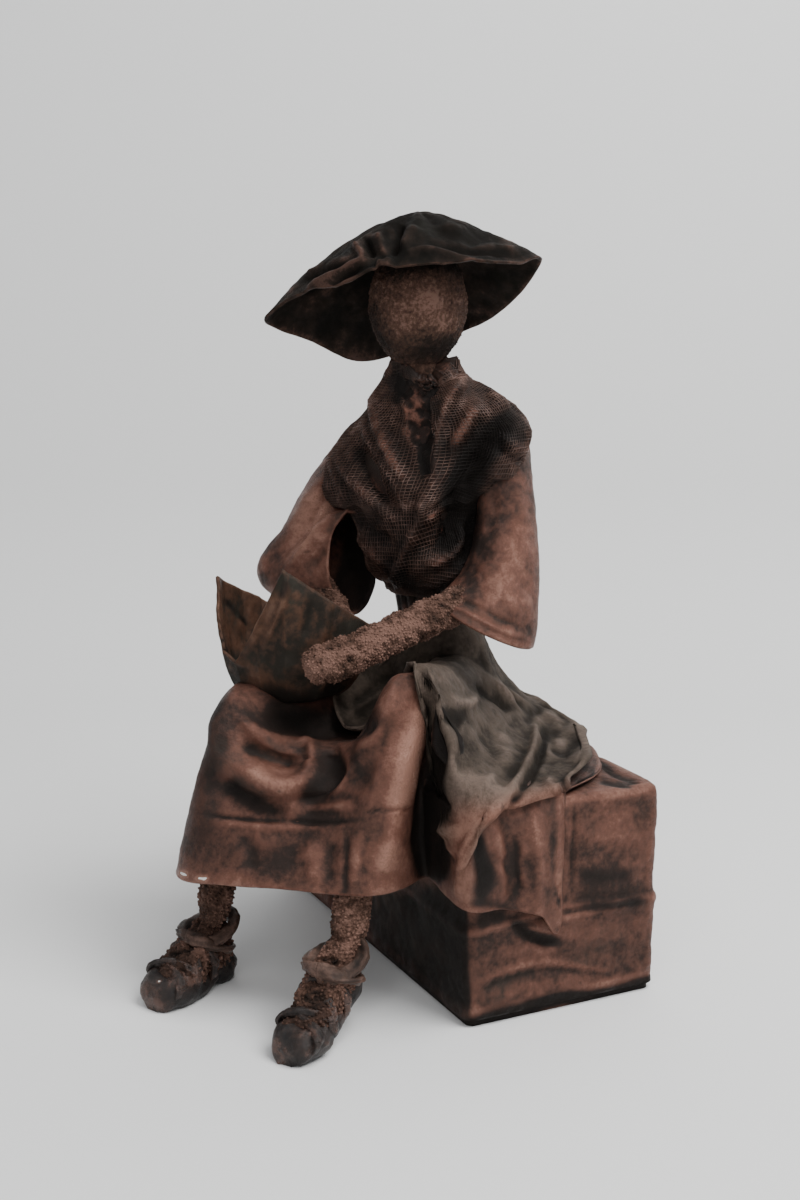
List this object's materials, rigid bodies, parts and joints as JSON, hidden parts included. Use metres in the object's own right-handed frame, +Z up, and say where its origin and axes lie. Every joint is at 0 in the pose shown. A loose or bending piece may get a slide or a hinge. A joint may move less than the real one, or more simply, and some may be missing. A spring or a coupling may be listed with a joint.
{
  "type": "textile figure sculpture",
  "caption": "Seated figure of stiffened cloth with a wide hat and netted shawl, holding an open cloth bowl, on a cloth-covered block",
  "frame": {"origin": "centre of the block's underside, on the surface it stands on", "axes": "+Z up, X along the block's long side, legs hang over its -Y side near the +X end"},
  "size_m": [0.3126, 0.3313, 0.5259],
  "materials": {
    "bronze_cloth": "stiffened cloth painted reddish bronze, satin",
    "block_cloth": "stiffened cloth painted reddish bronze, rubbed dark in patches",
    "grey_cloth": "stiffened cloth painted greyish brown, matt",
    "dark_cloth": "stiffened cloth painted dark brown",
    "hat_cloth": "stiffened cloth painted dark brown, satin",
    "net_cloth": "stiffened open net painted reddish brown",
    "crumb": "rough crumbed coat painted reddish brown",
    "shoe_cloth": "stiffened cloth painted near black, satin"
  },
  "bodies": {
    "root": {"seat_block": "block_cloth", "skirt": "bronze_cloth", "apron": "grey_cloth", "bodice": "dark_cloth", "head": "crumb", "hat": "hat_cloth", "sleeve_left": "bronze_cloth", "sleeve_right": "bronze_cloth", "shawl": "net_cloth", "forearm_left": "crumb", "forearm_right": "crumb", "cloth_bowl": "bronze_cloth", "leg_left": "crumb", "leg_right": "crumb", "shoe_left": "shoe_cloth", "shoe_right": "shoe_cloth", "ankle_wrap_left": "bronze_cloth", "ankle_wrap_right": "bronze_cloth"}
  },
  "joints": []
}
